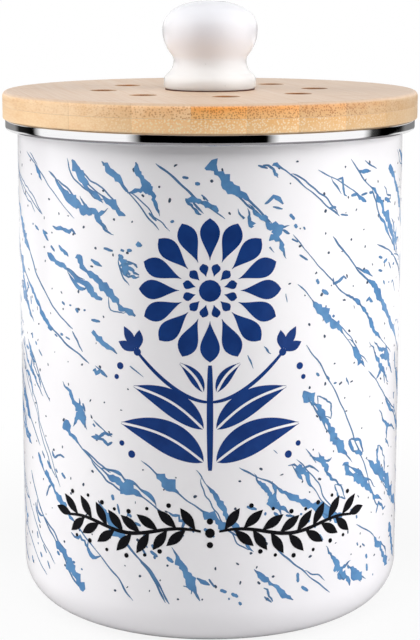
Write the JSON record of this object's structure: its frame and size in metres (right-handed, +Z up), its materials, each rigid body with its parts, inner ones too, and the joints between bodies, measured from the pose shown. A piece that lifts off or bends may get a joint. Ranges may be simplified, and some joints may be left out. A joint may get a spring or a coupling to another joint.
{
  "type": "compost canister",
  "caption": "Round enamelled steel countertop canister with a polished rim band and a vented lift-off bamboo lid that carries a ceramic knob, a seal and a charcoal filter.",
  "frame": {"origin": "middle of the base, on the surface that the canister stands on", "axes": "+Z up the canister's axis, -Y towards the front of the print, +X to the right as seen from the front"},
  "size_m": [0.17, 0.17, 0.2498],
  "materials": {
    "white_enamel": "glossy vitreous enamel, white, with a light blue marbled print",
    "polished_steel": "mirror-polished stainless steel",
    "bamboo_top": "carbonised laminated bamboo, satin",
    "bamboo_bottom": "natural laminated bamboo, satin",
    "bamboo_plug": "natural laminated bamboo, satin",
    "silicone": "translucent white silicone",
    "white_glaze": "glossy white glaze",
    "brown_rubber": "matt",
    "brass": "turned",
    "zinc_steel": "zinc plated",
    "white_plastic": "moulded, fine satin",
    "charcoal_felt": "black fibre felt filled with charcoal"
  },
  "bodies": {
    "canister": {"canister_shell": "white_enamel", "rim_band": "polished_steel"},
    "lid": {"lid_top_ply": "bamboo_top", "lid_bottom_ply": "bamboo_bottom", "lid_plug": "bamboo_plug", "lid_seal": "silicone", "knob": "white_glaze", "knob_gasket": "brown_rubber", "knob_insert": "brass", "knob_screw": "zinc_steel", "screw_washer": "zinc_steel", "filter_housing": "white_plastic", "housing_screws": "zinc_steel"},
    "cover": {"filter_cover": "white_plastic", "charcoal_filter": "charcoal_felt"}
  },
  "joints": [
    {"name": "lid_lift", "type": "slide", "parent": "canister", "child": "lid", "axis": [0, 0, 1], "range_m": [0, 0.07]},
    {"name": "filter_cover_turn", "type": "hinge", "parent": "lid", "child": "cover", "pos_m": [0, 0, 0.1785], "axis": [0, 0, -1], "range_deg": [0, 40]}
  ]
}
